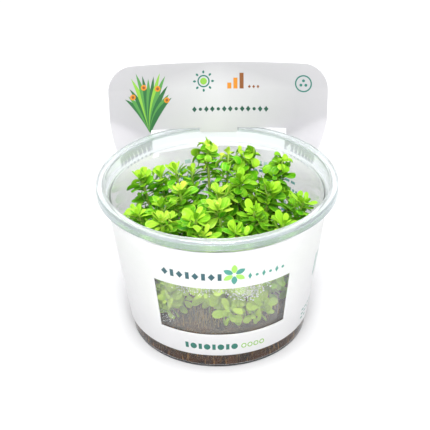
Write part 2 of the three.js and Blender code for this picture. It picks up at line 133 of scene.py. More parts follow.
# Drops on the inside of the wall: middle angle from the front, spread, height, spread, count, widest drop
DROP_PATCHES = [
    (16.5, 3.8, 37.6, 1.6, 1700, 1.0),
    (3.0, 9.0, 40.6, 1.1, 420, 0.7),
    (-15.0, 4.5, 39.7, 1.2, 380, 0.75),
    (28.0, 4.0, 41.0, 1.2, 50, 0.6),
    (-34.0, 3.0, 21.0, 2.2, 60, 0.5),
]

# Shoots: tip x, y and z, base x and y, leaf length, bearing in degrees, leaf pairs
SHOOTS = [
    (-4, 35.2, 61.5, -3, 27, 7.2, 20, 6),
    (5, 31, 59.5, 3.5, 22, 7, 70, 6),
    (13.5, 31.5, 59, 11.5, 27, 7.4, 35, 6),
    (27.2, 24, 59.5, 20.5, 19, 7.6, 10, 6),
    (-17, 25, 55.5, -14.5, 20, 7.2, 55, 5),
    (-31.6, 17.5, 56.5, -25, 14.5, 7.4, 15, 6),
    (9.4, 15.5, 56, 7, 13.5, 8.8, 80, 5),
    (-23.6, 22, 54.5, -20.5, 21.5, 7.6, 5, 5),
    (-15.2, 11, 53.5, -13, 10.5, 7.8, 40, 5),
    (0.6, 7.2, 54.5, -1, 6.5, 7.6, 25, 6),
    (0.4, -2.6, 53, 2, -2, 8, 60, 6),
    (21.6, 7.4, 55.5, 17, 6, 7.8, 30, 6),
    (34.6, 1, 53.5, 27.5, 2.5, 7.2, 75, 6),
    (-22.8, 3.4, 52, -19.5, 2, 7.6, 20, 5),
    (-31.6, -2.4, 51, -27, -1.5, 7.2, 50, 5),
    (-22.4, -6.6, 50.5, -20.5, -8, 7.8, 0, 5),
    (-8.4, -5.6, 50.5, -9, -4.5, 8.4, 65, 5),
    (-5.6, -14.4, 48.5, -5, -12.5, 7.8, 30, 5),
    (6.8, -13, 49, 8, -11, 7.6, 10, 5),
    (14.6, -3.6, 52, 12.5, -2.5, 7.8, 45, 5),
    (26, -9.4, 50, 21.5, -9, 7.6, 85, 5),
    (19.8, 27, 47, 14, 20.5, 7.2, 0, 4),
    (-10.6, 33.2, 50, -9, 27, 7, 60, 4),
    (32.4, 12.8, 48, 26, 10.5, 7, 40, 4),
    (-34.2, 7.4, 46, -28.5, 6.5, 6.8, 80, 4),
    (-13.6, 18, 44, -6, 17, 7.4, 15, 4),
    (16.8, 15.4, 46.5, 17.5, 13, 7.2, 60, 4),
    (-27, -15.6, 43.5, -23.5, -16, 7.4, 30, 4),
    (-15.4, -24.4, 40.5, -14.5, -20.5, 7.6, 55, 5),
    (-2.6, -29.6, 37.5, -3.5, -22.5, 7.8, 20, 5),
    (11.4, -27, 39, 8.5, -21.5, 7.6, 70, 5),
    (22.8, -23.2, 42, 18.5, -19.5, 7.4, 35, 5),
    (33.2, -13.2, 41.5, 28.5, -12.5, 7, 5, 4),
    (-20.6, -27.4, 27.5, -19.5, -24.5, 6.8, 10, 3),
    (4.4, -33.4, 27, 3.5, -29, 6.8, 45, 3),
    (17.2, -30.6, 28, 15.5, -27, 6.8, 25, 3),
]
STEM_BASE_RADIUS = 0.85
STEM_TIP_RADIUS = 0.6
STEM_GAP = 0.35
STEM_STRAIGHT = 0.55

# Pairs of leaves: depth below the tip, tilt in degrees, share of the leaf length
MAIN_PAIRS = [(0.45, 26, 0.6), (2, 50, 0.86), (4.3, 68, 1), (7.4, 78, 1), (11.6, 84, 0.92), (16.8, 88, 0.84)]
SIDE_PAIRS = [(0.15, 24, 0.36), (0.9, 46, 0.5), (2, 64, 0.62), (3.4, 78, 0.68)]
FILL_PAIRS = [
    (0.2, 16, 0.42), (1.1, 38, 0.62), (1.7, 48, 0.76), (3.1, 60, 0.9), (4.9, 70, 0.98), (6.4, 76, 1),
    (9, 82, 1), (11, 84, 0.96), (14, 86, 0.92), (17.5, 88, 0.88), (21, 90, 0.84), (24.5, 92, 0.8),
    (28, 92, 0.74), (31.5, 92, 0.7), (35, 92, 0.62),
]

LEAF_WIDTH_RATIO = 0.6
LEAF_THICKNESS = 0.5
LEAF_SHOULDER = 0.36
LEAF_SHOULDER_WIDTH = 0.34
LEAF_WIDEST = 0.72
LEAF_CURL = 0.14

# Gaps kept from other shoots' leaves, from the shoot's own, from the wall and from other stems
MAIN_GAPS = (0.8, 0.5, 0.75, 1.3)
FILL_GAPS = (0.3, 0.22, 0.2, 0.8)

# Turns in degrees and shares of its size that a leaf tries until it fits
MAIN_TRIES = [(0, 1), (14, 1), (-14, 1), (28, 0.94), (-28, 0.94), (8, 0.82), (-20, 0.76), (36, 0.7)]
FILL_TRIES = [(0, 1), (22, 1), (-22, 1), (45, 0.92), (-45, 0.92), (0, 0.76), (70, 0.7), (-70, 0.7),
              (90, 0.56)]

# Habits: how far a tilt swings in degrees, the least share of a size, how much more it may be, tries, gaps
MAIN_HABIT = (16, 0.92, 0.16, MAIN_TRIES, MAIN_GAPS)
SIDE_HABIT = (36, 0.8, 0.4, FILL_TRIES, FILL_GAPS)
FILL_HABIT = (50, 0.75, 0.4, FILL_TRIES, FILL_GAPS)

# Side shoots, which are denser and longer in the front row
SIDE_FIRST = 2.6
SIDE_FOOT = 2.0
SIDE_STEP = 3.4
FRONT_STEP = 1.5
FRONT_LONGEST = 9.0
FRONT_ROW_Y = -15.0
# Painted light: front-row leaves behind the window take younger, paler colours, standing in for light
# through the window
FRONT_ROW_PAINTED_LIGHT = 0.22
SIDE_TRIES = 7
SIDE_SHORTEST = 2.6
SIDE_LONGEST = 6.4
LEAF_ROOM = 6000


def wall_radius(z):
    return WALL_RADIUS_AT_ZERO + TAPER * z


def inner_radius(z):
    return wall_radius(z) - WALL_THICKNESS


def clamp(t):
    return min(1.0, max(0.0, t))


def smooth(t):
    u = clamp(t)
    return u * u * (3 - 2 * u)


def mix(a, b, t):
    return a + (b - a) * t


def unit(v):
    return v / norm(v)


def polar(radius, angle, z=0.0):
    return np.array([radius * cos(angle), radius * sin(angle), z])


def bent(start, knee, end, t):
    """A point on the curve that leaves its start towards the knee and bends to its end."""
    return (1 - t) * (1 - t) * start + 2 * (1 - t) * t * knee + t * t * end


def put(name, data):
    made = bpy.data.objects.new(name, data)
    bpy.context.scene.collection.objects.link(made)
    return made


# Meshes

class Skin:
    """Points, faces and a finish number for each face, and on a plant three leaf values for each point."""

    def __init__(self):
        self.points, self.faces, self.finishes, self.leaf = [], [], [], []

    def add(self, points, faces, finish=0, leaf=()):
        start = len(self.points)
        self.points += points
        self.faces += [tuple(start + i for i in face) for face in faces]
        self.finishes += [finish] * len(faces)
        self.leaf += leaf

    def build(self, name, finishes, sharp_above=40):
        mesh = bpy.data.meshes.new(name)
        mesh.from_pydata((np.array(self.points) * MM).tolist(), [], self.faces)
        for finish in finishes:
            mesh.materials.append(finish.material)
        mesh.polygons.foreach_set("material_index", self.finishes)
        if self.leaf:
            attribute = mesh.attributes.new("leaf", "FLOAT_VECTOR", "POINT")
            attribute.data.foreach_set("vector", np.array(self.leaf, np.float32).ravel())
        mesh.validate()
        mesh.shade_smooth()
        mesh.set_sharp_from_angle(angle=radians(sharp_above))
        piece = put(name, mesh)
        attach(piece, BODY)
        return piece


def loft(skin, rings, finish=0, leaf=()):
    """Joins closed rings of equal length with quads and caps both ends."""
    count = len(rings[0])
    points = [p for ring in rings for p in ring]
    faces = [tuple(reversed(range(count)))]
    for k in range(len(rings) - 1):
        for i in range(count):
            j = (i + 1) % count
            faces.append((k * count + i, k * count + j, (k + 1) * count + j, (k + 1) * count + i))
    last = (len(rings) - 1) * count
    faces.append(tuple(range(last, last + count)))
    skin.add(points, faces, finish, leaf)


def round_ring(centre, across, other, radius, count):
    """Points round a centre, in the plane of two unit vectors."""
    turns = 2 * pi / count * np.arange(count)
    return [centre + radius * (across * cos(a) + other * sin(a)) for a in turns]


def lathe(profile, segments):
    """A closed skin from a profile of (radius, height) points that starts and ends on the axis."""
    skin = Skin()
    turned = profile[1:-1]
    points = [polar(0, 0, profile[0][1]), polar(0, 0, profile[-1][1])]
    for k in range(segments):
        angle = 2 * pi * k / segments
        points += [polar(r, angle, z) for r, z in turned]
    row = len(turned)
    faces = []
    for k in range(segments):
        a = 2 + k * row
        b = 2 + (k + 1) % segments * row
        faces.append((0, b, a))
        faces += [(a + i, b + i, b + i + 1, a + i + 1) for i in range(row - 1)]
        faces.append((a + row - 1, b + row - 1, 1))
    skin.add(points, faces)
    return skin


def rounded(corners):
    """A profile whose corners, given as (radius, height, rounding), become arcs."""
    profile = []
    for k, (r, z, rounding) in enumerate(corners):
        here = np.array([r, z])
        if rounding == 0:
            profile.append(tuple(here))
            continue
        before = unit(np.array(corners[k - 1][:2]) - here)
        after = unit(np.array(corners[k + 1][:2]) - here)
        turn = acos(max(-1.0, min(1.0, float(before @ after))))
        back = rounding / tan(turn / 2)
        centre = here + unit(before + after) * rounding / sin(turn / 2)
        first = here + before * back - centre
        last = here + after * back - centre
        steps = max(2, round((pi - turn) / 0.3))
        for i in range(steps + 1):
            share = i / steps
            profile.append(tuple(centre + rounding * unit(first * (1 - share) + last * share)))
    return profile


# Materials

def linear(red, green, blue):
    """A colour given as 0 to 255 screen values, as the shader wants it."""
    shares = [value / 255 for value in (red, green, blue)]
    return (*[c / 12.92 if c <= 0.04045 else ((c + 0.055) / 1.055) ** 2.4 for c in shares], 1.0)


class Finish:
    """A material whose nodes end in one Principled shader."""

    def __init__(self, name, **constants):
        self.material = bpy.data.materials.new(name)
        self.material.use_nodes = True
        self.tree = self.material.node_tree
        self.shader = self.tree.nodes["Principled BSDF"]
        self.place = self.node("TexCoord").outputs["Object"]
        for key, value in constants.items():
            self.shader.inputs[key.replace("_", " ")].default_value = value

    def node(self, kind, inputs=None, **settings):
        made = self.tree.nodes.new("ShaderNode" + kind)
        for key, value in settings.items():
            setattr(made, key, value)
        for key, value in (inputs or {}).items():
            if isinstance(value, bpy.types.NodeSocket):
                self.tree.links.new(value, made.inputs[key])
            else:
                made.inputs[key].default_value = value
        return made

    def noise(self, size_mm, detail=3.0, place=None):
        inputs = {"Vector": place or self.place, "Scale": 1 / (size_mm * MM), "Detail": detail}
        return self.node("TexNoise", inputs).outputs["Fac"]

    def spread(self, value, low, high, to_low=0.0, to_high=1.0):
        inputs = {"Value": value, "From Min": low, "From Max": high, "To Min": to_low, "To Max": to_high}
        return self.node("MapRange", inputs).outputs["Result"]

    def fade(self, axis, low_mm, high_mm, to_low=0.0, to_high=1.0):
        """A value that changes along an axis of the object, and to both sides alike for X."""
        place = self.node("SeparateXYZ", {0: self.place}).outputs[axis]
        distance = self.calculate("ABSOLUTE", place) if axis == "X" else place
        return self.spread(distance, low_mm * MM, high_mm * MM, to_low, to_high)

    def colours(self, factor, first, second, how="MIX"):
        inputs = {0: factor, 6: first, 7: second}
        return self.node("Mix", inputs, data_type="RGBA", blend_type=how).outputs[2]

    def calculate(self, operation, first, second=0.0):
        return self.node("Math", {0: first, 1: second}, operation=operation).outputs[0]

    def stretched(self, along):
        """Object places shrunk along the height, so that a texture runs up and down."""
        inputs = {0: self.place, 1: (1, 1, along)}
        return self.node("VectorMath", inputs, operation="MULTIPLY").outputs["Vector"]

    def use(self, key, socket):
        self.tree.links.new(socket, self.shader.inputs[key])

    def clouded(self, first, second, size_mm, detail=3.0, place=None):
        """Mixes two base colours in soft clouds, and returns the clouds."""
        clouds = self.noise(size_mm, detail, place)
        self.use("Base Color", self.colours(clouds, first, second))
        return clouds

    def rough(self, noise, low, high):
        self.use("Roughness", self.spread(noise, 0.3, 0.7, low, high))

    def bump(self, height, depth_mm, strength):
        inputs = {"Height": height, "Distance": depth_mm * MM, "Strength": strength}
        self.use("Normal", self.node("Bump", inputs).outputs["Normal"])


def clear_plastic(name, clearness, roughness, shine=0.5, tint=(0.985, 0.995, 0.99), ior=1.49):
    """Moulded plastic: what isn't clearness scatters like thin milk or a film of fine drops."""
    finish = Finish(name, Transmission_Weight=clearness, IOR=ior, Specular_IOR_Level=shine)
    haze = finish.clouded(tuple(0.985 * c for c in tint) + (1,), tint + (1,), 9.0)
    finish.rough(haze, *roughness)
    finish.bump(finish.noise(14.0, 1.0), 0.04, 0.05)
    return finish


def card_stock(name, colour, roughness=0.42, glow=1.0, glow_above=None, painted_shade=None, reach=3.0):
    """Coated card that lets some light through, mottled and toothed, as the inks on it are. The header
    can let less light through, and a painted shade can fade in up the header and to its sides, darker
    towards the sides and top, standing in for the shade that the header's front lies in."""
    finish = Finish(name, IOR=1.5, Subsurface_Weight=glow, Subsurface_Scale=reach * MM,
                    Subsurface_Radius=(1, 1, 1))
    mottling = finish.noise(3.5, 4.0)
    if glow_above is not None:
        finish.use("Subsurface Weight", finish.fade("Z", 52, 60, glow, glow_above))
    # Painted shade on the header's front: darker up the header and towards its sides
    if painted_shade:
        behind = finish.calculate("MULTIPLY", finish.fade("Z", 42, 61), finish.fade("Y", 18, 30))
        shade_amount = finish.calculate("ADD", finish.fade("X", 2, 34, 0.59, 0.97), finish.fade("Z", 84, 95, 0, 0.4))
        colour = finish.colours(finish.calculate("MULTIPLY", behind, shade_amount), colour, painted_shade)
    finish.use("Base Color", finish.colours(mottling, colour, (0.965, 0.965, 0.965, 1), "MULTIPLY"))
    finish.rough(mottling, roughness - 0.05, roughness + 0.06)
    finish.bump(finish.noise(0.35, 2.0), 0.012, 0.5)
    return finish


def culture_gel():
    """Dark gel full of fine roots: brown clouds, nearly black pockets and pale upright threads."""
    finish = Finish("culture_gel", IOR=1.36, Specular_IOR_Level=0.1)
    clouds = finish.noise(5.0, 4.0)
    threads = finish.noise(0.7, 3.0, finish.stretched(0.16))
    ground = finish.colours(finish.spread(clouds, 0.35, 0.65), linear(30, 14, 4), linear(90, 54, 19))
    thread_share = finish.spread(threads, 0.55, 0.7, 0, 0.75)
    finish.use("Base Color", finish.colours(thread_share, ground, linear(176, 128, 68)))
    finish.rough(clouds, 0.25, 0.5)
    finish.bump(finish.calculate("ADD", clouds, threads), 0.35, 0.7)
    return finish


def root_fibre():
    finish = Finish("root_fibre", Roughness=0.5)
    finish.clouded(linear(112, 80, 40), linear(208, 172, 104), 2.5)
    finish.bump(finish.noise(0.25, 2.0), 0.03, 0.5)
    return finish


def leaf_skin(name, young, grown):
    """Leaf: paler when young and along the rib and rim, with faint side veins and a waxy shine. The youth of
    front-row leaves behind the window is partly painted light.
    """
    finish = Finish(name, Coat_Weight=0.12, Coat_Roughness=0.06, IOR=1.42, Specular_IOR_Level=0.08,
                    Subsurface_Weight=0.1, Subsurface_Scale=1.1 * MM, Subsurface_Radius=(0.5, 1.0, 0.15))
    values = finish.node("Attribute", attribute_name="leaf").outputs["Vector"]
    age_and_painted_light, across, along = finish.node("SeparateXYZ", {0: values}).outputs
    clouds = finish.noise(2.2)
    body = finish.colours(age_and_painted_light, young, grown)
    mottled = finish.colours(finish.spread(clouds, 0.3, 0.75, 0, 0.35), body, young)
    rib = finish.spread(across, 0.0, 0.16, 0.55, 0)
    rim = finish.spread(across, 0.86, 1.0, 0, 0.3)
    red, green, blue, _ = young
    pale = (1.35 * red + 0.03, 1.25 * green + 0.03, 1.6 * blue + 0.02, 1)
    finish.use("Base Color", finish.colours(finish.calculate("MAXIMUM", rib, rim), mottled, pale))
    slant = finish.calculate("MULTIPLY", across, 0.35)
    phase = finish.calculate("MULTIPLY", finish.calculate("SUBTRACT", along, slant), 46.0)
    veins = finish.calculate("MULTIPLY", finish.calculate("SINE", phase), 0.22)
    finish.rough(clouds, 0.3, 0.44)
    finish.bump(finish.calculate("ADD", veins, clouds), 0.09, 0.6)
    return finish


def stem_skin():
    finish = Finish("stem_skin", Roughness=0.38, Subsurface_Weight=0.2, Subsurface_Scale=MM)
    streaks = finish.clouded(linear(96, 140, 40), linear(168, 196, 84), 0.5, 2.0, finish.stretched(0.12))
    finish.bump(streaks, 0.05, 0.5)
    return finish


def water():
    """Fine drops, which scatter light and look white in a crowd."""
    finish = Finish("water", Transmission_Weight=0.05, IOR=1.333)
    finish.rough(finish.clouded((0.94, 0.97, 0.96, 1), (1, 1, 1, 1), 3.0), 0.0, 0.03)
    return finish


def floor_paint():
    finish = Finish("studio_floor", Roughness=0.9)
    finish.clouded((0.68, 0.68, 0.685, 1), (0.7, 0.7, 0.7, 1), 400.0, 1.0)
    return finish


# Cup

WALL, RIM, FOGGED, COLLAR, WETTED, EDGE = range(6)


def cup_finish(x, y, z):
    """Which of the cup's plastics shows at a place."""
    radius = hypot(x, y)
    # The lip's outer edge takes a dark-tinted plastic: painted shade
    if radius > RIM_RADIUS - LIP_EDGE_DEPTH:
        return EDGE
    if z > LEDGE_UNDERSIDE - 0.5:
        return RIM if z > RIM_TOP - 2 else COLLAR
    if radius > wall_radius(z) - WALL_THICKNESS / 2 or z < FLOOR_THICKNESS / 2 or z > FOG_TOP:
        return WALL
    if z < GEL_EDGE:
        return WETTED
    # Fog only away from the window's sides; the clear strips left there are painted shade
    aside = abs(atan2(x, -y) - WINDOW_OFFSET / CARD_ARC_RADIUS)
    return FOGGED if aside < FOG_HALF_ANGLE else WALL


def make_cup():
    skin = lathe(rounded([
        (0, 0, 0),
        (BASE_RADIUS, 0, 0.7),
        (wall_radius(FOOT_TOP), FOOT_TOP, 0),
        (wall_radius(LEDGE_UNDERSIDE), LEDGE_UNDERSIDE, 0.8),
        (COLLAR_RADIUS + 0.8, LEDGE_UNDERSIDE + 0.9, 0.7),
        (COLLAR_RADIUS + 1.0, RIM_TOP - FLANGE_THICKNESS, 0.4),
        (RIM_RADIUS - 0.9, RIM_TOP - FLANGE_THICKNESS, 0.5),
        (RIM_RADIUS - 0.5, RIM_LIP_BOTTOM, 0.2),
        (RIM_RADIUS, RIM_LIP_BOTTOM, 0.2),
        (RIM_RADIUS - 0.15, RIM_TOP, 1.0),
        (COLLAR_RADIUS, RIM_TOP, 0.5),
        (COLLAR_RADIUS - 0.2, LEDGE_TOP, 0.5),
        (inner_radius(LEDGE_TOP), LEDGE_TOP, 0.35),
        (inner_radius(FOG_TOP), FOG_TOP, 0),
        (inner_radius(GEL_EDGE), GEL_EDGE, 0),
        (inner_radius(FOOT_TOP), FOOT_TOP, 0),
        (BASE_RADIUS - WALL_THICKNESS, FLOOR_THICKNESS, 0.5),
        (0, FLOOR_THICKNESS, 0),
    ]), CUP_SEGMENTS)
    skin.finishes = [cup_finish(*sum(skin.points[i] for i in face) / len(face)) for face in skin.faces]
    cup = skin.build("cup_clear", [
        clear_plastic("clear_wall", 0.995, (0.0, 0.03), 0.15),
        clear_plastic("milky_rim", 0.8, (0.1, 0.16), 0.4, (0.94, 0.98, 0.98)),
        clear_plastic("fogged_wall", 0.85, (0.0, 0.04), tint=(0.99, 0.99, 0.91)),
        clear_plastic("milky_collar", 0.88, (0.1, 0.18), 0.4, (0.93, 0.97, 0.98)),
        clear_plastic("wetted_wall", 0.995, (0.0, 0.02), 0.15, ior=WETTED_IOR),
        # Dark teal tint on the lip's outer edge: painted shade standing in for the dark surroundings the lip
        # reflects and bends light from
        clear_plastic("lip_edge_painted_shade", 0.85, (0.08, 0.14), 0.2, (0.62, 0.7, 0.71)),
    ])
    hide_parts("cup")


# Card

def header_blend(s, z):
    """How far the card has left the cup's taper for the flat header, from 0 to 1."""
    across = abs(s)
    along = clamp((across - SLOT_HALF) / (HEADER_HALF - SLOT_HALF))
    start = HEADER_FLAT_FROM - STRAP_BEND + STRAP_BEND_RISE * along
    end = HEADER_FLAT_FROM + STRAP_END_RISE * along
    aside = 1 - smooth((across - HEADER_HALF) / SIDE_FADE)
    in_back = z < (SLOT_BOTTOM + SLOT_TOP) / 2
    back = smooth((across - SLOT_HALF + BACK_FADE) / BACK_FADE) if in_back else 1
    return smooth((z - start) / (end - start)) * aside * back


def card_middle(s, z):
    if s < -HALF_ROUND:
        s += 2 * HALF_ROUND
    angle = s / CARD_ARC_RADIUS
    radius = CARD_RADIUS_AT_ZERO + TAPER * z
    blend = header_blend(s, z)
    bow = HEADER_BOW * (s / HEADER_HALF) ** 2
    flat_x = HEADER_WIDTH_RATIO * s + HEADER_SHIFT
    flat_y = HEADER_PLANE_Y + (z - HEADER_FLAT_FROM) * tan(HEADER_LEAN) - bow
    return np.array([mix(radius * sin(angle), flat_x, blend),
                     mix(radius * cos(angle), flat_y, blend), z])


def card_point(s, z, side):
    along = card_middle(s + TOUCH, z) - card_middle(s - TOUCH, z)
    up = card_middle(s, z + TOUCH) - card_middle(s, z - TOUCH)
    return card_middle(s, z) + side * CARD_THICKNESS / 2 * unit(np.cross(up, along))


def header_top(s):
    across = abs(s)
    past = max(0.0, across - (HEADER_HALF - HEADER_CORNER))
    drop = HEADER_CORNER - sqrt(max(0.0, HEADER_CORNER ** 2 - past ** 2))
    return HEADER_TOP - drop - HEADER_CROWN * (across / HEADER_HALF) ** 2


def card_outline():
    """The blank's edge, laid flat, cut open at the seam on the right side."""
    corner = HEADER_HALF - HEADER_CORNER
    rounds = [corner + HEADER_CORNER * cos(pi / 20 * k) for k in range(11)]
    top = [*rounds, *np.linspace(corner, -corner, 37)[1:-1], *[-s for s in reversed(rounds)]]
    sleeve = [(FAR_SEAM, SLEEVE_TOP), (FAR_SEAM, SLEEVE_BOTTOM), (SEAM, SLEEVE_BOTTOM), (SEAM, SLEEVE_TOP)]
    header = [(s, header_top(s)) for s in top]
    return [*sleeve[1:], (HEADER_HALF, SLEEVE_TOP), *header, (-HEADER_HALF, SLEEVE_TOP), sleeve[0]]


def card_window():
    middle = (WINDOW_BOTTOM + WINDOW_TOP) / 2
    return bar(-HALF_ROUND - WINDOW_OFFSET, middle, 2 * WINDOW_HALF, WINDOW_TOP - WINDOW_BOTTOM)


def card_slot():
    corner = (TAB_HALF - TAB_CORNER, TAB_BOTTOM + TAB_CORNER)
    tab = [(TAB_HALF, SLOT_TOP)] + [around(corner, TAB_CORNER, -pi / 6 * k) for k in range(4)]
    half = [(SLOT_NOTCH_INNER, SLOT_BOTTOM), (SLOT_NOTCH_INNER, SLOT_NOTCH_BOTTOM),
            (SLOT_HALF, SLOT_NOTCH_BOTTOM), (SLOT_HALF, SLOT_TOP)] + tab
    return half + [(-s, z) for s, z in reversed(half)]


# Printed shapes, as outlines on the flat card

def around(centre, reach, angle):
    return (centre[0] + reach * cos(angle), centre[1] + reach * sin(angle))


def disc(s, z, radius, points=20):
    return [around((s, z), radius, 2 * pi / points * k) for k in range(points)]


def lozenge(s, z, width, height):
    return [(s - width / 2, z), (s, z - height / 2), (s + width / 2, z), (s, z + height / 2)]


def bar(s, z, width, height):
    w, h = width / 2, height / 2
    return [(s - w, z - h), (s + w, z - h), (s + w, z + h), (s - w, z + h)]


def blade(root, knee, tip, width, points=9):
    """A pointed leaf shape along a bent line."""
    root, knee, tip = (np.array(p, float) for p in (root, knee, tip))
    left, right = [], []
    for k in range(points + 1):
        t = k / points
        here = bent(root, knee, tip, t)
        heading = unit((1 - t) * (knee - root) + t * (tip - knee))
        half = width / 2 * sin(pi * min(1.0, 0.06 + 0.94 * t)) ** 0.8
        off = np.array([-heading[1], heading[0]]) * half
        left.append(tuple(here + off))
        right.append(tuple(here - off))
    return left[:-1] + [tuple(tip)] + right[-2::-1]


def ray(centre, near, far, angle, width, points):
    """A blade that points straight out from a centre."""
    return blade(*[around(centre, reach, angle) for reach in (near, (near + far) / 2, far)], width, points)


def frieze(s, step, z, count, ink, *kinds):
    """A row of shapes that take turns, each kind given as its function and its sizes."""
    shapes = []
    for k in range(count):
        shape, *sizes = kinds[k % len(kinds)]
        shapes.append((shape(s + step * k, z, *sizes), ink))
    return shapes


INKS = {
    "forest": (26, 74, 56),
    "teal": (24, 104, 90),
    "slate": (34, 80, 90),
    "sea": (58, 140, 126),
    "lime": (128, 182, 54),
    "mint": (150, 206, 84),
    "leaf": (72, 140, 58),
    "moss": (34, 96, 46),
    "amber": (206, 128, 30),
    "rust": (128, 70, 30),
    "mist": (178, 216, 200),
    "haze": (104, 178, 166),
}
INSIDE_INKS = ("mist", "haze")


def tuft_print():
    """Header, left: a fan of long blades with round amber heads."""
    shapes = []
    foot = (-30.5, 65.2)
    colours = ["moss", "leaf", "moss", "lime", "leaf"]
    shares = np.linspace(-1, 1, 13)
    for k, share in enumerate(shares):
        reach = 25.5 - 7.0 * share * share + 2.0 * sin(5 * k)
        knee = (foot[0] + 3.2 * share, foot[1] + 0.55 * reach)
        tip = around(foot, reach, pi / 2 - 0.6 * share)
        shapes.append((blade(foot, knee, tip, 2.3), colours[k % len(colours)]))
    for share in shares[2::3]:
        place = around(foot, 20.0 - 6.0 * share * share, pi / 2 - 0.62 * share)
        shapes += [(disc(*place, 1.25), "amber"), (disc(*place, 0.6, 12), "rust")]
    return shapes


def pictogram_prints():
    """Header, top middle and right: a sun, three rising bars and a ring of dots."""
    sun, ring = (-6.3, 86.6), (37.4, 85.8)
    shapes = [(disc(*sun, 2.7, 24), "teal"), (disc(*sun, 2.1, 24), None), (disc(*sun, 1.5), "lime")]
    shapes += [(ray(sun, 3.3, 4.7, pi / 4 * k, 1.0, 5), "teal") for k in range(8)]
    for k, ink in enumerate(["amber", "amber", "rust"]):
        height = 2.6 + 2.1 * k
        shapes.append((bar(5.0 + 2.7 * k, 83.2 + height / 2, 1.8, height), ink))
    shapes += frieze(13.8, 1.9, 84.1, 3, "rust", (lozenge, 1.3, 1.5))
    shapes += [(disc(*ring, 3.7, 28), "teal"), (disc(*ring, 3.1, 28), None)]
    dots = [around(ring, 1.25, pi / 2 + 2 * pi / 3 * k) for k in range(3)]
    return shapes + [(disc(*dot, 0.65, 12), "teal") for dot in dots]


def heading_print():
    """Header, middle: a row of lozenges with dots between."""
    wide = (lozenge, 2.1, 2.6)
    return frieze(-10.6, 2.65, 74.4, 13, "forest", wide, (disc, 0.75, 14), wide)


def inside_back_prints():
    """Inside of the sleeve behind the plants: rows of short pale strokes of uneven length."""
    shapes = []
    picks = random.Random(5)
    rows = [(51.2, 1.7, "mist", 24), (47.6, 1.1, "haze", 40), (44.2, 1.1, "haze", 46),
            (40.8, 1.1, "haze", 50), (37.2, 1.5, "mist", 50), (33.6, 1.1, "haze", 50)]
    for z, height, ink, reach in rows:
        s = -0.6 * reach
        while s < reach:
            width = picks.choice([1.2, 1.9, 2.6, 3.4])
            shapes.append((bar(s + width / 2, z, width, height), ink))
            s += width + picks.choice([0.9, 0.9, 2.2])
    return shapes


def front_prints():
    """Outside of the sleeve: borders above and below the window with a rosette between, and a sprig
    and short bars on the side."""
    front = -HALF_ROUND
    shapes = frieze(front + 21.7, -3.15, 47.25, 8, "slate", (lozenge, 2.8, 3.4), (bar, 1.5, 3.3))
    for k in range(6):
        petal = ray((front - 6.0, 48.2), 0.8, 4.8, pi / 3 * (k + 0.5), 2.3, 8)
        shapes.append((petal, "mint" if k % 2 else "sea"))
    shapes += frieze(front - 12.2, -2.85, 46.7, 6, "sea", (lozenge, 1.5, 3.1), (disc, 0.65, 14))
    shapes += frieze(front + 15.0, -3.1, 11.3, 8, "teal", (bar, 1.5, 2.9), (disc, 1.5))
    for k in range(4):
        s = front - 11.0 - 2.9 * k
        shapes += [(disc(s, 11.1, 1.25, 18), "lime"), (disc(s, 11.1, 0.8, 16), None)]
    side = front - 52.5
    for z in 29 + 2.6 * np.arange(4):
        shapes.append((blade((side, z), (side - 3, z + 2), (side - 6, z + 2), 1.1), "sea"))
    shapes.append((bar(side, 34.0, 0.7, 11.0), "sea"))
    for row in range(3):
        shapes += frieze(front - 47, -3.2, 14.5 - 2.1 * row, 4 - row, "sea", (bar, 2.1, 0.8))
    return shapes


def inside(outline, points):
    """Which points lie in an outline."""
    poly = np.array(outline)
    result = np.zeros(len(points), bool)
    x, y = points[:, 0], points[:, 1]
    for (x1, y1), (x2, y2) in zip(poly, np.roll(poly, -1, 0)):
        if y1 == y2:
            continue
        crosses = (y1 > y) != (y2 > y)
        result ^= crosses & (x < (x2 - x1) * (y - y1) / (y2 - y1) + x1)
    return result


def divided(loop):
    """An outline with its long sides cut into short ones, so that they follow the card's bends."""
    points = []
    for here, following in zip(loop, loop[1:] + loop[:1]):
        steps = max(1, ceil(dist(here, following) / CARD_STEP))
        points += [(mix(here[0], following[0], k / steps), mix(here[1], following[1], k / steps))
                   for k in range(steps)]
    return points


def on_card(points, outline, holes):
    """Which points lie in the outline and in none of its holes."""
    kept = inside(outline, points)
    for hole in holes:
        kept &= ~inside(hole, points)
    return kept


def card_grid(outline, holes):
    """Points inside the blank, close enough together to follow its bends."""
    columns = np.linspace(FAR_SEAM, SEAM, round(2 * HALF_ROUND / CARD_STEP) + 1)
    heights = np.linspace(SLEEVE_BOTTOM, SLEEVE_TOP, 25)
    upper = np.arange(SLEEVE_TOP + 1.4, HEADER_TOP - 1, 1.9)
    grid = np.array([(s, z) for s in columns[1:-1] for z in [*heights[1:-1], *upper]])
    return [tuple(p) for p in grid[on_card(grid, outline, holes)]]


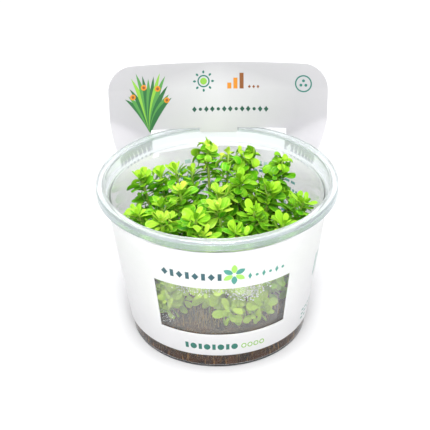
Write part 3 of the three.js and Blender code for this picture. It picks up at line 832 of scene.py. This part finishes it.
def make_card():
    outline, holes = divided(card_outline()), [divided(card_window()), divided(card_slot())]
    outer, inner = front_prints(), tuft_print() + pictogram_prints() + heading_print() + inside_back_prints()
    points, edges = [], []
    for loop in [outline, *holes, *[shape for shape, _ in outer + inner]]:
        start = len(points)
        points += loop
        edges += [(start + k, start + (k + 1) % len(loop)) for k in range(len(loop))]
    points += card_grid(outline, holes)
    found = delaunay_2d_cdt([Vector(p) for p in points], edges, [], 0, 1e-5, False)
    flat = np.array([tuple(p) for p in found[0]])
    triangles = np.array([list(t) for t in found[2]])
    middles = flat[triangles].mean(1)
    kept = on_card(middles, outline, holes)
    triangles, middles = triangles[kept], middles[kept]
    names = list(INKS)
    sides = []
    for prints in (outer, inner):
        finishes = np.zeros(len(triangles), int)
        for shape, ink in prints:
            finishes[inside(shape, middles)] = 0 if ink is None else 1 + names.index(ink)
        sides.append(finishes)
    skin = Skin()
    weld = {round(z, 4): k for k, (s, z) in enumerate(flat) if abs(s - FAR_SEAM) < TOUCH / 2}
    same = [weld[round(z, 4)] if abs(s - SEAM) < TOUCH / 2 else k for k, (s, z) in enumerate(flat)]
    triangles = np.array(same)[triangles]
    for side in (1, -1):
        skin.points += [card_point(s, z, side) for s, z in flat]
    count = len(flat)
    skin.faces = [tuple(t) for t in triangles[:, ::-1]] + [tuple(t + count) for t in triangles]
    bare = np.where(middles[:, 1] < SLEEVE_TOP, len(names) + 1, len(names) + 2)
    skin.finishes = [*sides[0], *np.where(sides[1] == 0, bare, sides[1])]
    halves = {(t[i], t[(i + 1) % 3]) for t in triangles for i in range(3)}
    rim = [(a, b) for a, b in halves if (b, a) not in halves]
    skin.faces += [(a, b, b + count, a + count) for a, b in rim]
    skin.finishes += [0] * len(rim)
    card = skin.build("card_printed", [
        card_stock("white_card", CARD_WHITE, glow_above=HEADER_GLOW),
        *[card_stock("ink_" + name, linear(*colour), 0.36, 1.0 if name in INSIDE_INKS else INK_GLOW)
          for name, colour in INKS.items()],
        # Inside of the sleeve: the card's back with painted light, brighter and warmer than the outside
        card_stock("card_back_painted_light", CARD_BACK_WITH_PAINTED_LIGHT, 0.6, reach=12.0),
        # The header's front face, with painted shade towards its sides and top
        card_stock("header_face_painted_shade", CARD_WHITE, glow_above=HEADER_GLOW, painted_shade=HEADER_PAINTED_SHADE),
    ], 50)
    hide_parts("card_sleeve")


# Medium

def make_medium():
    """The gel block, with a slightly uneven top that rises in a meniscus at the wall."""
    bottom = FLOOR_THICKNESS + MEDIUM_GAP
    foot = BASE_RADIUS - WALL_THICKNESS - MEDIUM_GAP
    profile = [(0, bottom), (foot - 0.6, bottom), (foot - 0.16, bottom + 0.14), (foot - 0.02, bottom + 0.6)]
    profile += [(inner_radius(z) - MEDIUM_GAP, z) for z in np.linspace(FOOT_TOP, GEL_EDGE, 10)]
    edge = inner_radius(MEDIUM_TOP) - MEDIUM_GAP
    for t in np.linspace(0.2, 1, 5):
        profile.append((edge - MENISCUS_WIDTH * t, MEDIUM_TOP + MENISCUS_HEIGHT * (1 - t) ** 2))
    inside_edge = edge - MENISCUS_WIDTH
    profile += [(inside_edge * (1 - k / 14), MEDIUM_TOP) for k in range(1, 15)]
    skin = lathe(profile, 120)
    for p in skin.points:
        if p[2] > MEDIUM_TOP - 0.01 and hypot(p[0], p[1]) < inside_edge:
            p[2] += 0.22 * sin(0.9 * p[0] + 0.4 * p[1]) * sin(0.7 * p[1]) - 0.1
    medium = skin.build("medium_gel", [culture_gel()])
    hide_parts("medium")


def side_radius(z):
    """The inside of the cup, foot included."""
    foot = mix(BASE_RADIUS - WALL_THICKNESS, inner_radius(FOOT_TOP), min(1.0, z / FOOT_TOP))
    return foot + TAPER * max(0.0, z - FOOT_TOP)


def make_roots():
    """Fine roots that stand on the gel behind the window, and roots that show against the cup's wall,
    half sunk in the side of the gel."""
    picks = random.Random(23)
    skin = Skin()
    east, north = np.eye(3)[:2]
    for _ in range(STANDING_ROOTS):
        angle = radians(picks.uniform(-52, 52) - 90)
        place = polar(picks.uniform(24.5, 33.6), angle, MEDIUM_TOP - 0.3)
        heading = np.array([picks.gauss(0, 0.16), picks.gauss(0, 0.1), 1.0])
        thick = picks.uniform(0.09, 0.2)
        rings = []
        for k in range(picks.randint(5, 11)):
            rings.append(round_ring(place, east, north, thick * (1 - 0.05 * k), 4))
            place = place + 0.85 * unit(heading)
            heading += np.array([picks.gauss(0, 0.08), picks.gauss(0, 0.06), 0])
            if hypot(place[0], place[1]) > inner_radius(place[2]) - 0.4:
                break
        if len(rings) > 3:
            loft(skin, rings)
    for _ in range(SIDE_ROOTS):
        angle = picks.uniform(0, 2 * pi)
        z = picks.uniform(2.2, 16.4) if picks.random() < 0.6 else picks.uniform(2.2, 7.5)
        slope = picks.gauss(0, 0.5)
        bend = picks.gauss(0, 0.07)
        thick = picks.uniform(0.08, 0.24)
        rings = []
        for k in range(picks.randint(9, 22)):
            radius = side_radius(z) - 0.03 - thick
            out = polar(1, angle)
            heading = polar(cos(slope), angle + pi / 2, sin(slope))
            size = thick * (1 - 0.03 * k)
            rings.append(round_ring(polar(radius, angle, z), out, np.cross(heading, out), size, 4))
            angle += 0.9 * cos(slope) / radius
            z += 0.9 * sin(slope)
            slope += bend + picks.gauss(0, 0.09)
            if not 2.0 < z < 16.7:
                break
        if len(rings) > 3:
            loft(skin, rings)
    roots = skin.build("roots", [root_fibre()])


def make_drops():
    """Condensation on the inside of the wall behind the window, as low domes."""
    picks = random.Random(77)
    skin = Skin()
    placed = []
    for middle, swing, height, rise, count, widest in DROP_PATCHES:
        for _ in range(count):
            angle = radians(picks.gauss(middle, swing) - 90)
            z = picks.gauss(height, rise)
            size = widest / 2 * picks.uniform(0.3, 1) ** 1.5
            foot = polar(inner_radius(z), angle, z)
            if z < MEDIUM_TOP + 1.5 or any(norm(foot - p) < size + r + 0.02 for p, r in placed):
                continue
            placed.append((foot, size))
            inward = unit(polar(-1, angle, TAPER))
            side = polar(1, angle + pi / 2)
            up = np.cross(inward, side)
            loft(skin, [round_ring(foot + inward * lift * size, side, up, share * size, 6)
                        for share, lift in ((1, 0.02), (0.9, 0.2), (0.66, 0.38), (0.3, 0.48))])
    drops = skin.build("drops", [water()])


# Shoots

class Stem:
    """The centre line of a stem or side shoot: it leaves its base towards the knee and bends to its tip."""

    def __init__(self, base, knee, tip, owner, thick=1.0):
        self.base, self.knee, self.tip = base, knee, tip
        self.owner, self.thick = owner, thick
        chords = [self.point(k / 200) for k in range(201)]
        self.length = sum(float(norm(b - a)) for a, b in zip(chords, chords[1:]))

    def point(self, t):
        return bent(self.base, self.knee, self.tip, t)

    def axes(self, t):
        low, high = max(0.0, t - 0.0001), min(1.0, t + 0.0001)
        tangent = unit(self.point(high) - self.point(low))
        across = unit(np.array([1.0, 0, 0]) - tangent * tangent[0])
        return tangent, across, np.cross(tangent, across)

    def samples(self):
        count = ceil(self.length)
        return np.array([self.point(k / count) for k in range(count + 1)])


def upright_stem(row, owner):
    """A shoot's stem leaves the medium upright, then leans over to its tip."""
    tip, base = np.array(row[:3], float), row[3:5]
    foot = MEDIUM_TOP + STEM_GAP + 0.1
    return Stem(np.array([*base, foot]), np.array([*base, mix(foot, tip[2], STEM_STRAIGHT)]), tip, owner)


def side_stem(stem, depth, azimuth, reach):
    """A side shoot leaves its stem outward at the given depth, then turns up."""
    t = 1 - depth / stem.length
    tangent, across, other = stem.axes(t)
    outward = across * cos(azimuth) + other * sin(azimuth)
    base = stem.point(t)
    knee = base + reach * (0.5 * outward + 0.12 * tangent)
    return Stem(base, knee, base + reach * (0.72 * outward + 0.62 * tangent), stem.owner, 0.62)


def stem_radius(t):
    return mix(STEM_BASE_RADIUS, STEM_TIP_RADIUS, t)


class Leaf:
    """A leaf's own frame: along the midrib, side across it, normal out of its upper face."""

    def __init__(self, stem, t, azimuth, tilt, length):
        tangent, across, other = stem.axes(t)
        outward = across * cos(azimuth) + other * sin(azimuth)
        self.along = tangent * cos(tilt) + outward * sin(tilt)
        self.normal = tangent * sin(tilt) - outward * cos(tilt)
        self.side = np.cross(self.normal, self.along)
        self.root = stem.point(t) + outward * 0.7 * stem_radius(t) * stem.thick
        self.length = length
        self.width = length * LEAF_WIDTH_RATIO
        self.owner = stem.owner
        x = np.repeat(length * np.arange(1, 8) / 7, 5)
        y = np.tile([-1, -0.5, 0, 0.5, 1], 7) * self.half_width(x)
        self.samples = self.points(x, y, LEAF_THICKNESS / 2)
        self.middle = self.points(np.array([length / 2]), np.array([0.0]), 0)[0]

    def points(self, x, y, lift):
        rise = lift - LEAF_CURL * x * x / self.length
        return self.root + np.outer(x, self.along) + np.outer(y, self.side) + np.outer(rise, self.normal)

    def half_width(self, x):
        stations = [0, LEAF_SHOULDER, LEAF_WIDEST, 1]
        return self.width * np.interp(x / self.length, stations, [0.08, LEAF_SHOULDER_WIDTH, 0.5, 0])

    def near(self, points, clearance):
        offset = points - self.root
        x = offset @ self.along
        y = offset @ self.side
        rise = LEAF_THICKNESS / 2 - LEAF_CURL * x * x / self.length
        in_length = (x >= -clearance) & (x <= self.length + clearance)
        in_width = np.abs(y) <= self.half_width(x) + clearance
        return bool(np.any(in_length & in_width & (np.abs(offset @ self.normal - rise) < clearance)))

    def meets(self, other, clearance, own_clearance):
        room, skipped = (own_clearance, 10) if self.owner == other.owner else (clearance, 0)
        return other.near(self.samples[skipped:], room) or self.near(other.samples[skipped:], room)

    def clears_wall(self, clearance):
        radius = np.hypot(self.samples[:, 0], self.samples[:, 1])
        z = self.samples[:, 2]
        return np.all(radius < inner_radius(z) - clearance) and np.all(z > MEDIUM_TOP + 1.1)


class Canopy:
    """The stems and leaves set so far, with their places kept together for a quick search."""

    def __init__(self, stems):
        self.stems, self.leaves = [], []
        self.stem_points, self.stem_owners = np.zeros((0, 3)), np.zeros(0, int)
        self.middles, self.lengths = np.zeros((LEAF_ROOM, 3)), np.zeros(LEAF_ROOM)
        for stem in stems:
            self.keep(stem)

    def keep(self, stem):
        points = stem.samples()
        self.stems.append(stem)
        self.stem_points = np.concatenate([self.stem_points, points])
        self.stem_owners = np.append(self.stem_owners, [stem.owner] * len(points))

    def nearby(self, place, reach):
        """The leaves that may come within reach of a place."""
        count = len(self.leaves)
        gaps = norm(self.middles[:count] - place, axis=1)
        return [self.leaves[k] for k in np.nonzero(gaps <= self.lengths[:count] / 2 + reach)[0]]

    def fits(self, leaf, gaps):
        to_others, to_own, to_wall, to_stems = gaps
        if not leaf.clears_wall(to_wall):
            return False
        near = norm(self.stem_points - leaf.middle, axis=1) < leaf.length / 2 + to_stems + 1
        close = self.stem_points[near & (self.stem_owners != leaf.owner)]
        if len(close) and leaf.near(close, to_stems):
            return False
        around_it = self.nearby(leaf.middle, leaf.length / 2 + 2)
        return not any(leaf.meets(other, to_others, to_own) for other in around_it)

    def grow(self, stem, depth, azimuth, tilt, size, tries, gaps, below=0.0):
        """Sets one leaf, turned or shrunk until it fits. The depth that makes it older counts from the tip
        of the whole shoot.
        """
        for turn, shrink in tries:
            leaf = Leaf(stem, 1 - depth / stem.length, azimuth + radians(turn), tilt, size * shrink)
            if self.fits(leaf, gaps):
                leaf.depth, leaf.below = depth, below
                self.middles[len(self.leaves)], self.lengths[len(self.leaves)] = leaf.middle, leaf.length
                self.leaves.append(leaf)
                return

    def branch(self, stem, depth, azimuth, reach):
        """A side shoot, or None where it would touch the wall, a leaf or another stem."""
        made = side_stem(stem, depth, azimuth, reach)
        points = made.samples()
        outer = points[1:]
        if np.any(np.hypot(outer[:, 0], outer[:, 1]) > inner_radius(outer[:, 2]) - 1.2):
            return None
        others = self.stem_points[self.stem_owners != stem.owner]
        if np.min(norm(others[:, None] - points[None, -2:], axis=2)) < 1.6:
            return None
        past_foot = outer[1:] if len(outer) > 2 else outer
        if any(leaf.near(past_foot, 0.35) for leaf in self.nearby(made.tip, reach + 1)):
            return None
        self.keep(made)
        return made


def grow_shoots():
    """Sets the leaves where the frame has them, then side shoots and finer pairs wherever there is room."""
    state = 4711

    def chance():
        nonlocal state
        state = state * 16807 % 2147483647
        return state / 2147483647

    def swing(width):
        return width * (chance() - 0.5)

    def grow_pair(stem, depth, azimuths, angle, size, habit, below=0.0):
        tilt_swing, least, more, tries, gaps = habit
        for azimuth in azimuths:
            tilt = radians(angle + swing(tilt_swing))
            canopy.grow(stem, depth, azimuth, tilt, size * (least + more * chance()), tries, gaps, below)

    canopy = Canopy([upright_stem(row, owner) for owner, row in enumerate(SHOOTS)])
    main = list(zip(canopy.stems, SHOOTS))
    for pair, (depth, angle, share) in enumerate(MAIN_PAIRS):
        for stem, (*_, length, bearing, pairs) in main:
            if pair < pairs:
                turn = bearing + swing(18)
                azimuths = [radians(turn + 90 * ((half + pair) % 4)) for half in (0, 2)]
                grow_pair(stem, depth, azimuths, angle, length * share, MAIN_HABIT)
    for stem, (*_, base_y, length, _, _) in main:
        depth = SIDE_FIRST + 2 * chance()
        in_front = base_y < FRONT_ROW_Y
        tries, longest, step = (2, FRONT_LONGEST, FRONT_STEP) if in_front else (1, SIDE_LONGEST, SIDE_STEP)
        while depth < stem.length - SIDE_FOOT:
            for _ in range(tries * SIDE_TRIES):
                azimuth = 2 * pi * chance()
                made = canopy.branch(stem, depth, azimuth, mix(SIDE_SHORTEST, longest, chance()))
                if made is None:
                    continue
                for pair, (near_tip, angle, share) in enumerate(SIDE_PAIRS):
                    if near_tip > made.length - 0.6:
                        break
                    turn = azimuth + pi / 2 * (pair % 2) + swing(0.6)
                    azimuths = (turn, turn + pi)
                    grow_pair(made, near_tip, azimuths, angle, length * share, SIDE_HABIT, 0.4 * depth)
                break
            depth += step * (0.7 + 0.6 * chance())
    for pair, (depth, angle, share) in enumerate(FILL_PAIRS):
        for stem, (*_, length, bearing, _) in main:
            if depth <= stem.length - 1.5:
                turn = bearing + 45 + 90 * (pair % 2) + swing(24)
                azimuths = (radians(turn), radians(turn + 180))
                grow_pair(stem, depth, azimuths, angle, length * share, FILL_HABIT)
    return canopy


LEAF_STATIONS = [0, 0.07, 0.17, 0.29, 0.42, 0.55, 0.67, 0.78, 0.87, 0.94, 0.98, 1.0]
TOP_SHARES = [-1, -0.68, -0.2, 0, 0.2, 0.68, 1]
UNDER_SHARES = [0.6, 0, -0.6]
OUTLINE_WIDEST = 0.66
CURLED_HEADS = 4

# Colours of a young and of a grown leaf
LEAF_COLOURS = {
    "leaf_fresh": ((0.47, 0.67, 0.06, 1), (0.05, 0.36, 0.002, 1)),
    "leaf_green": ((0.33, 0.61, 0.03, 1), (0.036, 0.29, 0.001, 1)),
    "leaf_deep": ((0.28, 0.57, 0.02, 1), (0.026, 0.2, 0.001, 1)),
}


def leaf_outline(u):
    """Half width of a round-ended leaf, as a share of its widest half."""
    if u <= OUTLINE_WIDEST:
        return 0.16 + 0.84 * sin(pi / 2 * u / OUTLINE_WIDEST) ** 1.5
    return sqrt(max(0.0, 1 - ((u - OUTLINE_WIDEST) / (1 - OUTLINE_WIDEST)) ** 2.3))


def add_blade(skin, leaf, picks):
    """One leaf as a closed loft: a bent, folded midrib, cupped sides and a thin round rim."""
    fold = picks.uniform(0.02, 0.26)
    cup = picks.uniform(-0.16, 0.3)
    twist = picks.gauss(0, 0.28)
    roll_at_root = picks.gauss(0, 0.22)
    sweep = picks.gauss(0, 0.08)
    pitch = picks.gauss(0, 0.14)
    bend = 2 * LEAF_CURL * picks.uniform(0.0, 2.0)
    width = leaf.width * picks.uniform(0.7, 1.06)
    age_and_painted_light = clamp((leaf.depth + leaf.below) / 4.6 + picks.gauss(0.0, 0.26))
    # Painted light: leaves behind the window are made younger and paler, as if lit through it
    if leaf.middle[1] < FRONT_ROW_Y and leaf.middle[2] < FOG_TOP:
        age_and_painted_light *= FRONT_ROW_PAINTED_LIGHT
    if leaf.owner < CURLED_HEADS and leaf.depth + leaf.below < 4.5:
        cup = picks.uniform(0.2, 0.6)
        bend = picks.choice([-1, 1, 1]) * picks.uniform(0.9, 2.3)
        width = leaf.width * picks.uniform(1.1, 1.35)
    arc = leaf.length / bend if abs(bend) > 1e-3 else 0.0
    rings, values = [], []
    for u in LEAF_STATIONS:
        half = max(0.03, leaf_outline(u)) * width / 2
        ridge = 0.34 * sin(pi * min(0.97, 0.1 + 0.87 * u)) ** 0.5
        roll = roll_at_root * min(1.0, 3 * u) + twist * u
        turn = bend * u
        x = arc * sin(turn) if arc else u * leaf.length
        drop = arc * (1 - cos(turn))
        slope = turn - pitch
        ahead = leaf.along * cos(pitch) + leaf.normal * sin(pitch)
        above = leaf.normal * cos(pitch) - leaf.along * sin(pitch)
        outward = leaf.normal * cos(slope) + leaf.along * sin(slope)
        spine = leaf.root + ahead * x - above * drop + leaf.side * sweep * x * x / leaf.length
        ring = []
        for share, under in [(v, 0) for v in TOP_SHARES] + [(v, 1) for v in UNDER_SHARES]:
            y, sides = share * half, abs(share) * half
            body = ridge * (1 - share * share)
            groove = 0.09 if share == 0 and not under else 0
            lift = fold * sides + cup * sides * sides / leaf.width
            lift += -0.15 * body if under else body - groove
            ring.append(spine + leaf.side * (y * cos(roll) - lift * sin(roll))
                        + outward * (lift * cos(roll) + y * sin(roll)))
            values.append((age_and_painted_light, abs(share), u))
        rings.append(ring[::-1])
    loft(skin, rings, 0, leaf=values)


def add_stem(skin, stem, depths):
    """The round stem, swollen a little where leaves stand."""
    rings, values = [], []
    count = max(6, int(stem.length / 1.1))
    for k in range(count + 1):
        t = k / count
        _, across, other = stem.axes(t)
        depth = (1 - t) * stem.length
        swell = sum(exp(-((depth - d) / 0.55) ** 2) for d in depths)
        radius = stem.thick * stem_radius(t) * (0.72 + 0.22 * min(1.0, swell)) * (0.6 if k == count else 1)
        rings.append(round_ring(stem.point(t), across, other, radius, 8))
        values += [(1.0, 0.5, 0.5)] * 8
    loft(skin, rings, 1, leaf=values)


def make_shoots():
    finishes = {name: leaf_skin(name, *colours) for name, colours in LEAF_COLOURS.items()}
    slots = {row["node"]: row["material_slot"] for row in frame["record"]["subparts"]}
    stem_finish = stem_skin()
    canopy = grow_shoots()
    picks = random.Random(31)
    for owner in range(len(SHOOTS)):
        node = f"shoot_{owner + 1:02d}"
        skin = Skin()
        own = [leaf for leaf in canopy.leaves if leaf.owner == owner]
        for stem in canopy.stems:
            if stem.owner == owner:
                depths = {leaf.depth for leaf in own if not leaf.below} if stem.thick == 1 else set()
                add_stem(skin, stem, sorted(depths))
        for leaf in own:
            add_blade(skin, leaf, picks)
        shoot = skin.build(f"plant_{owner + 1:02d}", [finishes[slots[node]], stem_finish], 60)
        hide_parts(node)


# Light and camera

CAMERA_PLACE = (0.0, -376.35, 278.23)
CAMERA_PITCH = 0.5481058
CAMERA_YAW = -0.0027961
CAMERA_ROLL = -0.0176374
CAMERA_FOCAL_PIXELS = 1103.618
PHOTO_PIXELS = 430
SENSOR = 36.0
OVERHEAD_WATTS = 16
KEY_WATTS = 6.6
SKY_STRENGTH = 0.6


def make_camera():
    data = bpy.data.cameras.new("camera")
    data.sensor_width = SENSOR
    data.lens = SENSOR * CAMERA_FOCAL_PIXELS / PHOTO_PIXELS
    data.clip_start, data.clip_end = 0.01, 20
    camera = put("camera", data)
    turned = Matrix.Rotation(-CAMERA_YAW, 4, "Z") @ Matrix.Rotation(pi / 2 - CAMERA_PITCH, 4, "X")
    rolled = turned @ Matrix.Rotation(CAMERA_ROLL, 4, "Z")
    camera.matrix_world = Matrix.Translation(Vector(CAMERA_PLACE) * MM) @ rolled
    bpy.context.scene.camera = camera


def softbox(name, place, target, width, watts):
    data = bpy.data.lights.new(name, "AREA")
    data.shape = "SQUARE"
    data.size = width
    data.energy = watts
    lamp = put(name, data)
    lamp.location = place
    lamp.rotation_euler = (Vector(target) - Vector(place)).to_track_quat("-Z", "Y").to_euler()


def make_studio():
    mesh = bpy.data.meshes.new("floor")
    mesh.from_pydata([(-3, -3, 0), (3, -3, 0), (3, 3, 0), (-3, 3, 0)], [], [(0, 1, 2, 3)])
    mesh.materials.append(floor_paint().material)
    floor = put("floor", mesh)
    floor.location.z = -0.0001
    softbox("overhead", (0, 0.02, 1.3), (0, 0.02, 0), 0.8, OVERHEAD_WATTS)
    softbox("key", (0.0, -0.6, 0.6), (0, 0, 0.05), 0.4, KEY_WATTS)
    scene = bpy.context.scene
    scene.world = bpy.data.worlds.new("world")
    scene.world.use_nodes = True
    sky = scene.world.node_tree.nodes["Background"].inputs
    sky["Color"].default_value = (0.97, 0.975, 1.0, 1)
    sky["Strength"].default_value = SKY_STRENGTH
    scene.view_settings.view_transform = "Standard"
    scene.cycles.max_bounces = 20
    scene.cycles.diffuse_bounces = 6
    scene.cycles.transmission_bounces = 18


make_camera()
make_studio()
make_cup()
make_card()
make_medium()
make_roots()
make_drops()
make_shoots()
